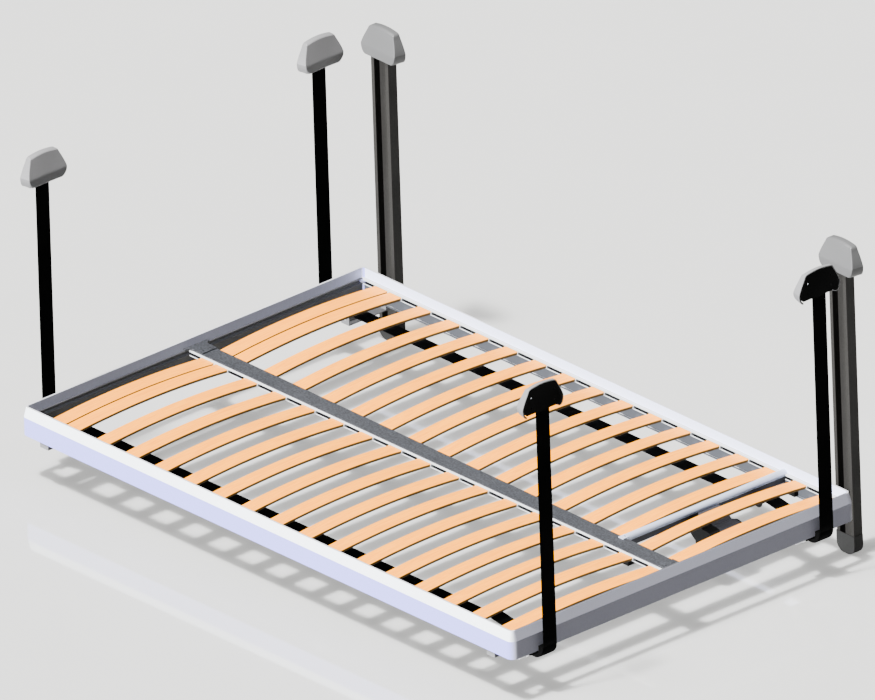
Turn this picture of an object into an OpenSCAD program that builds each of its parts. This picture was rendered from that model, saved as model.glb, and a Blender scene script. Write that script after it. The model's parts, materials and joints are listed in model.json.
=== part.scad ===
// Bed lift: a slatted bed frame hung on four straps and led by two wall guides.
// X runs along the bed, Y from the free side to the wall, Z up; origin under the middle.

/* [Bed frame] */
// Length of the bed frame over its end rails
bed_l = 1950; // [1900:10:2000]
// Width of the bed frame over its long rails
bed_w = 1210; // [1180:10:1240]
// Height of the rail section
rail_h = 81; // [78:1:86]
// Outer radius of the frame corners in plan
corner_r = 20; // [19:1:28]
// Height at which the outer face starts to lean inwards
lean_z = 52; // [48:1:54]
// Width of the middle beam
spine_w = 52; // [50:1:58]
// Radius of the short cross tube
tube_r = 11; // [10:0.5:12]

/* [Slats] */
// Width of a slat
slat_w = 50; // [44:1:52]
// Thickness of a slat
slat_t = 8; // [7:0.5:8]
// Height of the crown in the middle of a slat
slat_crown = 14; // [12:1:18]
// Start of the first slat, from the left end
slat_first = 69; // [66:1:72]
// Start of the third slat, where the even spacing starts
slat_third = 242; // [236:1:248]

/* [Straps] */
// Width of a strap
strap_w = 48; // [40:1:48]
// Thickness of a strap
strap_t = 2; // [1.6:0.2:2.4]
// Distance from the long side of the bed to the middle of a strap
strap_inset = 117; // [112:1:124]
// Distance from the end rail to the middle of a hanging strap
strap_gap = 19; // [18:1:20]
// Radius of the strap where it turns under the end rail
wrap_r = 38; // [35:1:40]
// Radius of the small rollers under the frame
roller_r = 12; // [10:0.5:12]

/* [Wall parts] */
// Width of a guide channel
guide_w = 68; // [64:1:72]
// Depth of a guide channel
guide_d = 30; // [28:1:33]
// Distance from the bed end to the guide channel
guide_inset = 32; // [28:1:40]
// Gap between the bed and the guide channels
wall_gap = 22; // [20:1:26]
// Largest width of a cover
cover_w = 135; // [128:1:142]
// Wall thickness of a cover
cover_t = 2.5; // [2:0.25:3]

/* [Drive] */
// Radius of the winding shaft
shaft_r = 6; // [5:0.5:6]
// Radius of the motor housing
motor_r = 32.5; // [30:0.5:33]
// Length of the motor housing
motor_len = 78; // [72:2:90]

/* [Hidden] */
$fn = 64;
// A cut runs this far past a face.
past = 1;
// Plain gap between parts that move past each other.
clear = 0.5;
// Radial gap of a running bore.
run_fit = 0.05;
// Gap between the wound strap and the strap that leaves it.
wind_gap = 0.3;

// Rail section, depth inwards and height.
rail_t = 18;
web_y = 16;
flange_t = 5;
lean_y = 7;
bead_w = 5;
ledge_y = 13;
ledge_z = 54;
groove_back = 6;
groove_lo = 39;
groove_hi = 51;
lip_t = 3;
wall_t = 2;

// Middle beam.
spine_y0 = (bed_w - spine_w) / 2;
spine_y1 = (bed_w + spine_w) / 2;
spine_lo = 36.5;
spine_top = 57;
spine_groove = rail_t - groove_back;
plate_t = 3;
plate_half = 42.5;
plate_len = 57;
shoulder_r = plate_half - spine_w / 2;
plate_edge = 8;
plate_screw_r = 3.5;
plate_screw_back = 14;
screw_head_t = 1.5;

// Slat strips, set in the grooves.
strip_face = 2;
strip_lo = 37;
strip_hi = 54;
slot_back = 8;
slot_lo = 40;
slot_h = 8.4;
slot_hi = slot_lo + slot_h;

// Slats.
slat_n = 17;
slat_end_gap = 52;
slat_second_gap = 5;
slat_pitch = (bed_l - slat_end_gap - slat_w - slat_third) / (slat_n - 3);
slat_y0 = slot_back + 3;
arc_y0 = rail_t + strip_face;
arc_y1 = spine_y0 - strip_face;
slat_y1 = spine_y0 + rail_t - slot_back - 3;
arc_half = (arc_y1 - arc_y0) / 2;
arc_mid = (arc_y0 + arc_y1) / 2;
arc_r = (arc_half * arc_half + slat_crown * slat_crown) / (2 * slat_crown);
arc_fn = 1440;
// The crowned part starts this far below the top of a slat's straight ends.
arc_join = 1;
cap_w = 2;
cap_front = 3;
rear_shift = spine_y1 - rail_t;

// Straps: bend under the end rail, roller, run along the bed.
strap_run_z = 14;
bend_x = wrap_r - strap_gap;
bend_z = 14;
roller_x = 88;
roller_z = strap_run_z - strap_t / 2 - roller_r;
roller_pin_r = 4;
over_r = roller_r + strap_t / 2;
bend_dist = norm([roller_x - bend_x, bend_z - roller_z]);
bend_more = asin((wrap_r + over_r) / bend_dist) - atan2(bend_z - roller_z, roller_x - bend_x);
bend_steps = 24;
over_steps = 8;
strap_y = strap_inset - strap_w / 2;
far_y = bed_w - 2 * strap_inset;
hang_top = 700;

// Shoe under the end rail.
shoe_r = wrap_r - strap_t / 2 - 0.1;
shoe_reach = 26;
shoe_end = bend_x + shoe_reach;
tab_len = 29;
tab_t = 7;
tab_round = 8;
tab_x0 = 2;
tab_x1 = 30;
bolt_r = 3.5;
bolt_len = 31;
bolt_in = 8;
bolt_collar_r = 5;
bolt_z = -clear - bolt_collar_r;
bolt_collar_len = 6;

// Roller bracket.
holder_t = 3;
holder_half = 16;
holder_lo = -15;
holder_foot = 14;
holder_rim = 4;
holder_y0 = strap_y - 5;
holder_y1 = strap_y + strap_w + 5;

// Winding shaft, drums and gears.
wind_r = 11;
tube_beside = 8;
tube_x = slat_x(slat_n - 3) + slat_w + tube_beside + tube_r;
tube_to_shaft = 38;
shaft_x = tube_x + tube_to_shaft;
shaft_z = strap_run_z + wind_r;
core_r = 8;
wound_r = wind_r - strap_t / 2 - wind_gap;
drum_flange_r = 16.5;
drum_flange_t = 2;
block_w = 40;
block_y = 14;
block_lo = 6;
block_hi = 35.5;
shaft_end = 22;
gear_m = 2.5;
wheel_z = 16;
pinion_z = 27;
gear_dist = gear_m * (wheel_z + pinion_z) / 2;
motor_drop = 33;
motor_x = shaft_x + sqrt(gear_dist * gear_dist - motor_drop * motor_drop);
motor_z = shaft_z - motor_drop;
gear_to_rail = 368;
gear_y = bed_w - gear_to_rail;
gearbox_w = 36;
gearbox_t = 2.5;
gear_w = 20;
gear_back = (gearbox_w - gear_w) / 2;
gear_room = 0.8;
motor_y = gear_y + gearbox_w;
motor_shaft_r = 5;
motor_wall = 3;
end_disc_t = 4;
end_boss_r = 14;
end_boss_t = 5;
end_plug_r = 12;
end_plug_t = 6;
rotor_r = 24;
rotor_front = 18;
rotor_back = 22;

// Cross tube beside the shaft, the bar below it and the hanger of the motor.
tube_z = 53;
tube_y0 = spine_y1 + strip_face;
tube_y1 = bed_w - arc_y0;
tube_wall = 2;
tube_tab_half = 10;
tube_tab_in = 8;
tube_tab_out = 14;
hanger_back = 4;
hanger_w = 30;
hanger_rim = 3;
hanger_drop = 6;
clamp_t = 4;
bar_half = 10;
bar_lo = 31;

// Guides on the wall.
wall_y = bed_w + wall_gap + guide_d;
guide_t = 2.5;
guide_lip = 12;
guide_z0 = -100;
guide_z1 = 716;
guide_mid = guide_inset + guide_w / 2;
foot_r = 28;
foot_z0 = -128;
foot_z1 = -70;
foot_t = 1.5;
guide_hole_r = 3.5;
guide_hole_half = 14;
guide_hole_z0 = -20;
guide_hole_step = 710;
wheel_r = (guide_d - 2 * guide_t) / 2 - clear;
wheel_w = 8;
wheel_y = wall_y - guide_d / 2;
wheel_z0 = 26;
axle_r = 4;
arm_half = 17;
arm_lo = 6;
arm_hi = 46;
arm_back = 5;
pad_half = 32;
pad_t = 4;

// Covers: outline seen from the front, and depth seen from the side.
cover_half = cover_w / 2;
cover_lo = 697;
cover_round = 24;
cover_top_half = cover_half - 18.5;
cover_top_z = 774;
cover_arch = 10;
cover_lean_z = 724;
cover_edge_z = 771;
cover_edge_back = 12;
cover_d = 31;
cap_d = guide_d + 6;
face_x = -strap_gap - strap_t / 2 - 3;
back_t = 2;

// Strap anchors inside the covers.
anchor_pin_r = 5;
anchor_z = 742;
loop_r = anchor_pin_r + 0.3;
anchor_x = -strap_gap + loop_r + strap_t / 2;
ear_t = 3;
ear_half = 10;
ear_gap = strap_w / 2 + 1.5;
anchor_hole_r = 3;
anchor_hole_y = 40;
anchor_hole_z0 = 722;
anchor_hole_step = 30;

// Colours.
rail_c = [0.85, 0.86, 0.93];
grey_c = [0.45, 0.46, 0.48];
steel_c = [0.72, 0.73, 0.76];
wood_c = [0.92, 0.76, 0.53];
white_c = [0.9, 0.9, 0.91];
black_c = [0.05, 0.05, 0.05];
dark_c = [0.2, 0.2, 0.2];
cover_c = [0.68, 0.68, 0.67];

// Placement helpers.
module placed() {
    translate([-bed_l / 2, -wall_y / 2, -foot_z0]) children();
}
module flip_x() {
    translate([bed_l, 0, 0]) mirror([1, 0, 0]) children();
}
module flip_y() {
    translate([0, bed_w, 0]) mirror([0, 1, 0]) children();
}
// Turns a drawing of depth and height into a bar along X.
module along_x(len) {
    rotate([90, 0, 90]) linear_extrude(len) children();
}
// Turns a drawing of X and height into a bar along Y that starts at Y = 0.
module along_y(len) {
    translate([0, len, 0]) rotate([90, 0, 0]) linear_extrude(len) children();
}
// A round bar along Y, from y0 to y1.
module rod_y(x, z, r, y0, y1) {
    translate([x, y0, z]) rotate([-90, 0, 0]) cylinder(r = r, h = y1 - y0);
}
// A round bar along X, from x0 to x1.
module rod_x(y, z, r, x0, x1) {
    translate([x0, y, z]) rotate([0, 90, 0]) cylinder(r = r, h = x1 - x0);
}

// Bed frame.
module rail_section() {
    difference() {
        polygon([[0, 0], [rail_t, 0], [rail_t, flange_t], [web_y, flange_t],
            [web_y, groove_lo - lip_t], [rail_t, groove_lo - lip_t], [rail_t, groove_lo],
            [groove_back, groove_lo], [groove_back, groove_hi], [rail_t, groove_hi],
            [rail_t, ledge_z], [ledge_y, ledge_z], [lean_y + bead_w, rail_h],
            [lean_y, rail_h], [0, lean_z]]);
        polygon([[wall_t, wall_t], [web_y - wall_t, wall_t], [web_y - wall_t, groove_lo - wall_t],
            [groove_back - wall_t, groove_lo - wall_t],
            [groove_back - wall_t, groove_hi + wall_t],
            [ledge_y - wall_t, groove_hi + wall_t],
            [lean_y + bead_w - wall_t, rail_h - wall_t],
            [lean_y + wall_t, rail_h - wall_t], [wall_t, lean_z]]);
    }
}
module rail_front() {
    color(rail_c) placed() translate([corner_r, 0, 0])
        along_x(bed_l - 2 * corner_r) rail_section();
}
module rail_rear() {
    color(rail_c) placed() flip_y() translate([corner_r, 0, 0])
        along_x(bed_l - 2 * corner_r) rail_section();
}
module end_rail() {
    translate([0, corner_r, 0]) along_y(bed_w - 2 * corner_r) rail_section();
}
module rail_left() {
    color(rail_c) placed() end_rail();
}
module rail_right() {
    color(rail_c) placed() flip_x() end_rail();
}
module corner_casting() {
    translate([corner_r, corner_r, 0]) rotate([0, 0, 180])
        rotate_extrude(angle = 90) translate([corner_r, 0]) mirror([1, 0]) rail_section();
}
module corner_castings() {
    color(rail_c) placed() {
        corner_casting();
        flip_x() corner_casting();
        flip_y() corner_casting();
        flip_x() flip_y() corner_casting();
    }
}

// Middle beam and its brackets.
module spine_section() {
    h = spine_w / 2;
    g = h - spine_groove;
    difference() {
        polygon([[-h, spine_lo], [h, spine_lo], [h, groove_lo], [g, groove_lo], [g, groove_hi],
            [h, groove_hi], [h, spine_top], [-h, spine_top], [-h, groove_hi],
            [-g, groove_hi], [-g, groove_lo], [-h, groove_lo]]);
        translate([-g + wall_t, spine_lo + wall_t])
            square([2 * (g - wall_t), spine_top - spine_lo - 2 * wall_t]);
    }
}
module spine() {
    color(grey_c) placed() translate([rail_t, bed_w / 2, 0])
        along_x(bed_l - 2 * rail_t) spine_section();
}
module bracket_screw_places() {
    for (s = [-1, 1])
        translate([plate_len + ledge_y - plate_screw_back, bed_w / 2 + s * spine_w / 4,
            spine_top]) children();
}
module spine_bracket() {
    difference() {
        translate([0, bed_w / 2, spine_top]) linear_extrude(plate_t) {
            translate([ledge_y, -plate_half]) square([plate_edge, 2 * plate_half]);
            translate([ledge_y, -spine_w / 2]) square([plate_len, spine_w]);
            difference() {
                translate([ledge_y + plate_edge, -plate_half])
                    square([shoulder_r, 2 * plate_half]);
                for (s = [-1, 1])
                    translate([ledge_y + plate_edge + shoulder_r, s * plate_half])
                        circle(shoulder_r);
            }
        }
        bracket_screw_places() translate([0, 0, -past])
            cylinder(r = plate_screw_r / 2, h = plate_t + 2 * past);
    }
    translate([ledge_y, bed_w / 2 - plate_half, ledge_z])
        cube([rail_t - ledge_y, 2 * plate_half, spine_top - ledge_z]);
}
module spine_bracket_left() {
    color(grey_c) placed() spine_bracket();
}
module spine_bracket_right() {
    color(grey_c) placed() flip_x() spine_bracket();
}
module bracket_screw_pair() {
    bracket_screw_places() {
        cylinder(r = plate_screw_r / 2, h = plate_t);
        translate([0, 0, plate_t]) cylinder(r = plate_screw_r, h = screw_head_t);
    }
}
module bracket_screws() {
    color(steel_c) placed() {
        bracket_screw_pair();
        flip_x() bracket_screw_pair();
    }
}

// Slat strips, slats and their end caps.
module strip_section() {
    polygon([[groove_back, groove_lo], [rail_t, groove_lo], [rail_t, strip_lo],
        [arc_y0, strip_lo], [arc_y0, slot_lo], [slot_back, slot_lo], [slot_back, slot_hi],
        [arc_y0, slot_hi], [arc_y0, strip_hi], [rail_t, strip_hi], [rail_t, groove_hi],
        [groove_back, groove_hi]]);
}
module strip() {
    translate([corner_r, 0, 0]) along_x(bed_l - 2 * corner_r) strip_section();
}
module slat_strip_front() {
    color(white_c) placed() strip();
}
module slat_strip_rear() {
    color(white_c) placed() flip_y() strip();
}
module slat_strip_spine_front() {
    color(white_c) placed() translate([0, spine_y0 + rail_t, 0]) mirror([0, 1, 0]) strip();
}
module slat_strip_spine_rear() {
    color(white_c) placed() translate([0, rear_shift, 0]) strip();
}
function slat_x(i) =
    i == 0 ? slat_first : i == 1 ? slat_first + slat_w + slat_second_gap
    : slat_third + (i - 2) * slat_pitch;
module slat_shape() {
    top = slot_lo + slat_t;
    difference() {
        union() {
            translate([slat_y0, slot_lo]) square([slat_y1 - slat_y0, slat_t]);
            intersection() {
                translate([arc_mid, top + slat_crown - arc_r]) circle(arc_r, $fn = arc_fn);
                translate([slat_y0, top - arc_join]) square([slat_y1 - slat_y0, rail_h]);
            }
        }
        translate([arc_mid, slot_lo + slat_crown - arc_r]) circle(arc_r, $fn = arc_fn);
    }
}
module slat_row() {
    for (i = [0 : slat_n - 1])
        translate([slat_x(i), 0, 0]) along_x(slat_w) slat_shape();
}
module slats_front() {
    color(wood_c) placed() slat_row();
}
module slats_rear() {
    color(wood_c) placed() translate([0, rear_shift, 0]) slat_row();
}
module end_cap() {
    translate([-cap_w, slot_back, slot_lo]) linear_extrude(slat_t) difference() {
        square([slat_w + 2 * cap_w, arc_y0 + cap_front - slot_back]);
        translate([cap_w, slat_y0 - slot_back]) square([slat_w, arc_y0]);
    }
}
module cap_row() {
    for (i = [0 : slat_n - 1])
        translate([slat_x(i), 0, 0]) end_cap();
}
module slat_end_caps() {
    color(white_c) placed() {
        cap_row();
        flip_y() cap_row();
        translate([0, rear_shift, 0]) cap_row();
        translate([0, spine_y0 + rail_t, 0]) mirror([0, 1, 0]) cap_row();
    }
}

// Cross tube with a flat tab at each end; its rear end is notched to lie on the rail.
module cross_tube() {
    y2 = bed_w - ledge_y - 2 * clear;
    color(steel_c) placed() {
        difference() {
            union() {
                rod_y(tube_x, tube_z, tube_r, tube_y0, y2);
                translate([tube_x - tube_tab_half, tube_y0 - tube_tab_out, spine_top])
                    cube([2 * tube_tab_half, tube_tab_out + tube_tab_in, plate_t]);
                translate([tube_x - tube_tab_half, tube_y1 - tube_tab_in, ledge_z])
                    cube([2 * tube_tab_half, y2 - tube_y1 + tube_tab_in, plate_t]);
            }
            rod_y(tube_x, tube_z, tube_r - tube_wall, tube_y0 - past, y2 + past);
            translate([tube_x - 2 * tube_r, tube_y1, ledge_z - 2 * tube_r])
                cube([4 * tube_r, y2 - tube_y1 + past, 2 * tube_r]);
        }
    }
}

// Bearings of the winding shaft: two on the long rails, one under the middle beam.
module bearing_block(y0, len, top) {
    difference() {
        translate([shaft_x - block_w / 2, y0, block_lo]) cube([block_w, len, top - block_lo]);
        rod_y(shaft_x, shaft_z, shaft_r + run_fit, y0 - past, y0 + len + past);
    }
}
module shaft_bearings() {
    color(dark_c) placed() {
        bearing_block(rail_t, block_y, block_hi);
        bearing_block(bed_w - rail_t - block_y, block_y, block_hi);
        bearing_block(bed_w / 2 - block_y, 2 * block_y, spine_lo);
    }
}

// Motor, gearbox and their bracket.
module gear_outline(extra) {
    translate([shaft_x, shaft_z]) circle(gear_m * (wheel_z + 2) / 2 + extra);
    translate([motor_x, motor_z]) circle(gear_m * (pinion_z + 2) / 2 + extra);
    w = gear_m * (wheel_z + 2) / 2 + extra;
    translate([shaft_x, shaft_z]) rotate([0, 0, -asin(motor_drop / gear_dist)])
        translate([0, -w]) square([gear_dist, 2 * w]);
}
module gearbox() {
    color(dark_c) placed() difference() {
        translate([0, gear_y, 0]) along_y(gearbox_w) gear_outline(gear_room + gearbox_t);
        translate([0, gear_y + gearbox_t, 0])
            along_y(gearbox_w - 2 * gearbox_t) gear_outline(gear_room);
        rod_y(shaft_x, shaft_z, shaft_r + run_fit, gear_y - past, motor_y + past);
        rod_y(motor_x, motor_z, motor_shaft_r + run_fit, motor_y - gearbox_t - past, motor_y + past);
    }
}
module motor_housing() {
    color(dark_c) placed() difference() {
        rod_y(motor_x, motor_z, motor_r, motor_y, motor_y + motor_len);
        rod_y(motor_x, motor_z, motor_r - motor_wall, motor_y + motor_wall,
            motor_y + motor_len + past);
        rod_y(motor_x, motor_z, motor_shaft_r + run_fit, motor_y - past, motor_y + 2 * motor_wall);
    }
}
module motor_end_cap() {
    y1 = motor_y + motor_len;
    color(dark_c) placed() difference() {
        union() {
            rod_y(motor_x, motor_z, motor_r, y1, y1 + end_disc_t);
            rod_y(motor_x, motor_z, end_boss_r, y1 + end_disc_t, y1 + end_disc_t + end_boss_t);
            rod_y(motor_x, motor_z, end_plug_r, y1 - end_plug_t, y1);
        }
        rod_y(motor_x, motor_z, motor_shaft_r + run_fit, y1 - end_plug_t - past,
            y1 + end_disc_t / 2);
    }
}
module bracket_outline() {
    dx = motor_x - tube_x;
    dz = tube_z - motor_z;
    low = motor_z - motor_r;
    difference() {
        union() {
            intersection() {
                union() {
                    translate([tube_x, tube_z]) circle(tube_r + clamp_t);
                    translate([tube_x, tube_z]) rotate([0, 0, -atan2(dz, dx)])
                        translate([0, -hanger_w / 2]) square([norm([dx, dz]), hanger_w]);
                }
                translate([tube_x - hanger_w, low])
                    square([dx + 2 * hanger_w, tube_z - hanger_drop - low]);
            }
            translate([motor_x, motor_z]) circle(motor_r + hanger_rim);
        }
        translate([motor_x, motor_z]) circle(motor_r);
        translate([shaft_x, shaft_z]) circle(shaft_r + hanger_rim);
    }
}
// The hanger hangs below a flat bar that lies along the underside of the tube.
module motor_bracket() {
    color(dark_c) placed() difference() {
        union() {
            translate([0, motor_y + hanger_back, 0])
                along_y(motor_len - 2 * hanger_back) bracket_outline();
            translate([tube_x - bar_half, tube_y0 + clear, bar_lo])
                cube([2 * bar_half, tube_y1 - tube_y0 - 2 * clear, tube_z - tube_r / 2 - bar_lo]);
        }
        rod_y(tube_x, tube_z, tube_r, tube_y0, tube_y1);
    }
}

// Gears: plain teeth with room to run.
module gear_shape(n, bore) {
    r = gear_m * n / 2;
    a = 90 / n;
    difference() {
        union() {
            circle(r - 1.2 * gear_m);
            for (i = [0 : n - 1])
                rotate([0, 0, i * 360 / n]) polygon([
                    [(r - 1.6 * gear_m) * cos(a), -(r - 1.6 * gear_m) * sin(a * 0.9)],
                    [r, -r * sin(a * 0.8)], [r + 0.9 * gear_m, -r * sin(a * 0.42)],
                    [r + 0.9 * gear_m, r * sin(a * 0.42)], [r, r * sin(a * 0.8)],
                    [(r - 1.6 * gear_m) * cos(a), (r - 1.6 * gear_m) * sin(a * 0.9)]]);
        }
        circle(bore);
    }
}
// Angle of the line from the shaft to the motor.
mesh_a = -asin(motor_drop / gear_dist);
module shaft_gear() {
    color(steel_c) placed() translate([shaft_x, gear_y + gear_back, shaft_z])
        along_y(gear_w) rotate([0, 0, mesh_a]) gear_shape(wheel_z, shaft_r);
}
module motor_gear() {
    color(steel_c) placed() translate([motor_x, gear_y + gear_back, motor_z])
        along_y(gear_w) rotate([0, 0, mesh_a + 180 + 180 / pinion_z])
            gear_shape(pinion_z, motor_shaft_r);
}
module motor_rotor() {
    color(steel_c) placed() {
        rod_y(motor_x, motor_z, motor_shaft_r, gear_y + gear_back - 2, motor_y + motor_len + 1);
        rod_y(motor_x, motor_z, rotor_r, motor_y + rotor_front, motor_y + motor_len - rotor_back);
    }
}

// Winding shaft with two strap drums.
module winding_shaft() {
    color(steel_c) placed() rod_y(shaft_x, shaft_z, shaft_r, shaft_end, bed_w - shaft_end);
}
module drum() {
    y0 = strap_y - clear;
    y1 = strap_y + strap_w + clear;
    difference() {
        union() {
            rod_y(shaft_x, shaft_z, core_r, y0 - drum_flange_t, y1 + drum_flange_t);
            rod_y(shaft_x, shaft_z, drum_flange_r, y0 - drum_flange_t, y0);
            rod_y(shaft_x, shaft_z, drum_flange_r, y1, y1 + drum_flange_t);
        }
        rod_y(shaft_x, shaft_z, shaft_r, y0 - 2 * drum_flange_t, y1 + 2 * drum_flange_t);
    }
}
module strap_drums() {
    color(dark_c) placed() {
        drum();
        translate([0, far_y, 0]) drum();
    }
}
module wound_strap() {
    difference() {
        rod_y(shaft_x, shaft_z, wound_r, strap_y, strap_y + strap_w);
        rod_y(shaft_x, shaft_z, core_r, strap_y - past, strap_y + strap_w + past);
    }
}
module wound_straps() {
    color(black_c) placed() {
        wound_strap();
        translate([0, far_y, 0]) wound_strap();
    }
}

// Shoes that turn the straps under the end rails.
module shoe_region(r) {
    intersection() {
        translate([bend_x, bend_z]) circle(r);
        union() {
            translate([-2 * r, -2 * r]) square([2 * r, 2 * r + bend_z]);
            translate([-2 * r, -2 * r]) square([2 * r + shoe_end, 2 * r]);
        }
    }
}
module shoe() {
    y0 = strap_y - clear;
    y1 = strap_y + strap_w + clear;
    translate([0, y0, 0]) along_y(y1 - y0) shoe_region(shoe_r);
    difference() {
        translate([tab_x0, y0 - tab_len, -tab_t])
            cube([tab_x1 - tab_x0, tab_len + past, tab_t]);
        translate([tab_x0, y0 - tab_len, -tab_t - past])
            difference() {
                cube([tab_round, tab_round, tab_t + 2 * past]);
                translate([tab_round, tab_round, -past])
                    cylinder(r = tab_round, h = tab_t + 4 * past);
            }
    }
}
module shoe_front_left() {
    color(black_c) placed() shoe();
}
module shoe_rear_left() {
    color(black_c) placed() translate([0, far_y, 0]) shoe();
}
module shoe_front_right() {
    color(black_c) placed() flip_x() shoe();
}
module shoe_rear_right() {
    color(black_c) placed() flip_x() translate([0, far_y, 0]) shoe();
}
module shoe_bolt() {
    x = tab_x0 + bolt_in;
    y1 = strap_y - clear - tab_len;
    rod_y(x, bolt_z, bolt_r, y1 - bolt_len, y1);
    rod_y(x, bolt_z, bolt_collar_r, y1 - bolt_collar_len, y1);
}
module shoe_bolts() {
    color(steel_c) placed() for (y = [0, far_y]) {
        translate([0, y, 0]) shoe_bolt();
        flip_x() translate([0, y, 0]) shoe_bolt();
    }
}

// Straps on the bed: turn, rise over the roller, run along the frame to a drum.
function arc_points(c, r, a0, a1, n) =
    [for (k = [0 : n]) c + r * [cos(a0 + k * (a1 - a0) / n), sin(a0 + k * (a1 - a0) / n)]];
// Outline of a run in X and height; a_end is its slope beyond the roller.
module run_outline(a_end, low_end, high_end) {
    a = [bend_x, bend_z];
    b = [roller_x, roller_z];
    h = strap_t / 2;
    turn = 270 + bend_more;
    polygon(concat(arc_points(a, wrap_r + h, 180, turn, bend_steps),
        arc_points(b, roller_r, 90 + bend_more, 90 + a_end, over_steps),
        [low_end, high_end],
        arc_points(b, roller_r + strap_t, 90 + a_end, 90 + bend_more, over_steps),
        arc_points(a, wrap_r - h, turn, 180, bend_steps)));
}
module run_left_shape() {
    z = strap_run_z - strap_t / 2;
    run_outline(0, [shaft_x, z], [shaft_x, z + strap_t]);
}
module run_right_shape() {
    b = [roller_x, roller_z];
    c = [bed_l - shaft_x, shaft_z];
    rise = atan2(c[1] - b[1], c[0] - b[0]) - asin((over_r - wind_r) / norm(c - b));
    n = [-sin(rise), cos(rise)];
    run_outline(rise, c + (wind_r - strap_t / 2) * n, c + (wind_r + strap_t / 2) * n);
}
module run_front_left() {
    color(black_c) placed() translate([0, strap_y, 0]) along_y(strap_w) run_left_shape();
}
module run_rear_left() {
    color(black_c) placed() translate([0, strap_y + far_y, 0]) along_y(strap_w) run_left_shape();
}
module run_front_right() {
    color(black_c) placed() flip_x() translate([0, strap_y, 0]) along_y(strap_w) run_right_shape();
}
module run_rear_right() {
    color(black_c) placed() flip_x() translate([0, strap_y + far_y, 0])
        along_y(strap_w) run_right_shape();
}

// Rollers under the frame, with their brackets and pins.
module roller_bracket() {
    difference() {
        union() {
            translate([roller_x - holder_half, wall_t, holder_lo])
                cube([2 * holder_half, holder_y1 - wall_t, holder_t]);
            translate([roller_x - holder_half, wall_t, holder_lo])
                cube([2 * holder_half, holder_foot, -holder_lo]);
            for (y = [holder_y0, holder_y1 - holder_t])
                translate([roller_x - holder_half, y, holder_lo])
                    cube([2 * holder_half, holder_t,
                        roller_z + roller_pin_r + holder_rim - holder_lo]);
        }
        rod_y(roller_x, roller_z, roller_pin_r, holder_y0 - past, holder_y1 + past);
    }
}
module roller_brackets() {
    color(steel_c) placed() {
        roller_bracket();
        flip_y() roller_bracket();
        flip_x() roller_bracket();
        flip_x() flip_y() roller_bracket();
    }
}
module roller_pin() {
    rod_y(roller_x, roller_z, roller_pin_r, holder_y0 - 1, holder_y1 + 1);
}
module roller_pins() {
    color(steel_c) placed() for (y = [0, far_y]) {
        translate([0, y, 0]) roller_pin();
        flip_x() translate([0, y, 0]) roller_pin();
    }
}
module roller() {
    difference() {
        rod_y(roller_x, roller_z, roller_r - wind_gap, strap_y - 1, strap_y + strap_w + 1);
        rod_y(roller_x, roller_z, roller_pin_r + run_fit, strap_y - 2, strap_y + strap_w + 2);
    }
}
module roller_front_left() {
    color(dark_c) placed() roller();
}
module roller_rear_left() {
    color(dark_c) placed() translate([0, far_y, 0]) roller();
}
module roller_front_right() {
    color(dark_c) placed() flip_x() roller();
}
module roller_rear_right() {
    color(dark_c) placed() flip_x() translate([0, far_y, 0]) roller();
}

// Carriages on the rear rail, with wheels inside the guide channels.
module carriage() {
    difference() {
        union() {
            translate([guide_mid - pad_half, bed_w, arm_lo - 2])
                cube([2 * pad_half, pad_t, arm_hi - arm_lo + 4]);
            translate([guide_mid - arm_half, bed_w, arm_lo])
                cube([2 * arm_half, wall_y - arm_back - guide_t - bed_w, arm_hi - arm_lo]);
        }
        rod_x(wheel_y, wheel_z0, axle_r, guide_mid - arm_half - past, guide_mid + arm_half + past);
    }
}
module carriage_left() {
    color(dark_c) placed() carriage();
}
module carriage_right() {
    color(dark_c) placed() flip_x() carriage();
}
module wheel_axle() {
    rod_x(wheel_y, wheel_z0, axle_r, guide_inset + guide_t + 1, guide_inset + guide_w - guide_t - 1);
}
module wheel_axles() {
    color(steel_c) placed() {
        wheel_axle();
        flip_x() wheel_axle();
    }
}
module wheel(x0) {
    difference() {
        rod_x(wheel_y, wheel_z0, wheel_r, x0, x0 + wheel_w);
        rod_x(wheel_y, wheel_z0, axle_r + run_fit, x0 - past, x0 + wheel_w + past);
    }
}
module wheel_pair() {
    wheel(guide_inset + guide_t + 1.5);
    wheel(guide_inset + guide_w - guide_t - 1.5 - wheel_w);
}
module wheels_left() {
    color(white_c) placed() wheel_pair();
}
module wheels_right() {
    color(white_c) placed() flip_x() wheel_pair();
}

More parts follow.
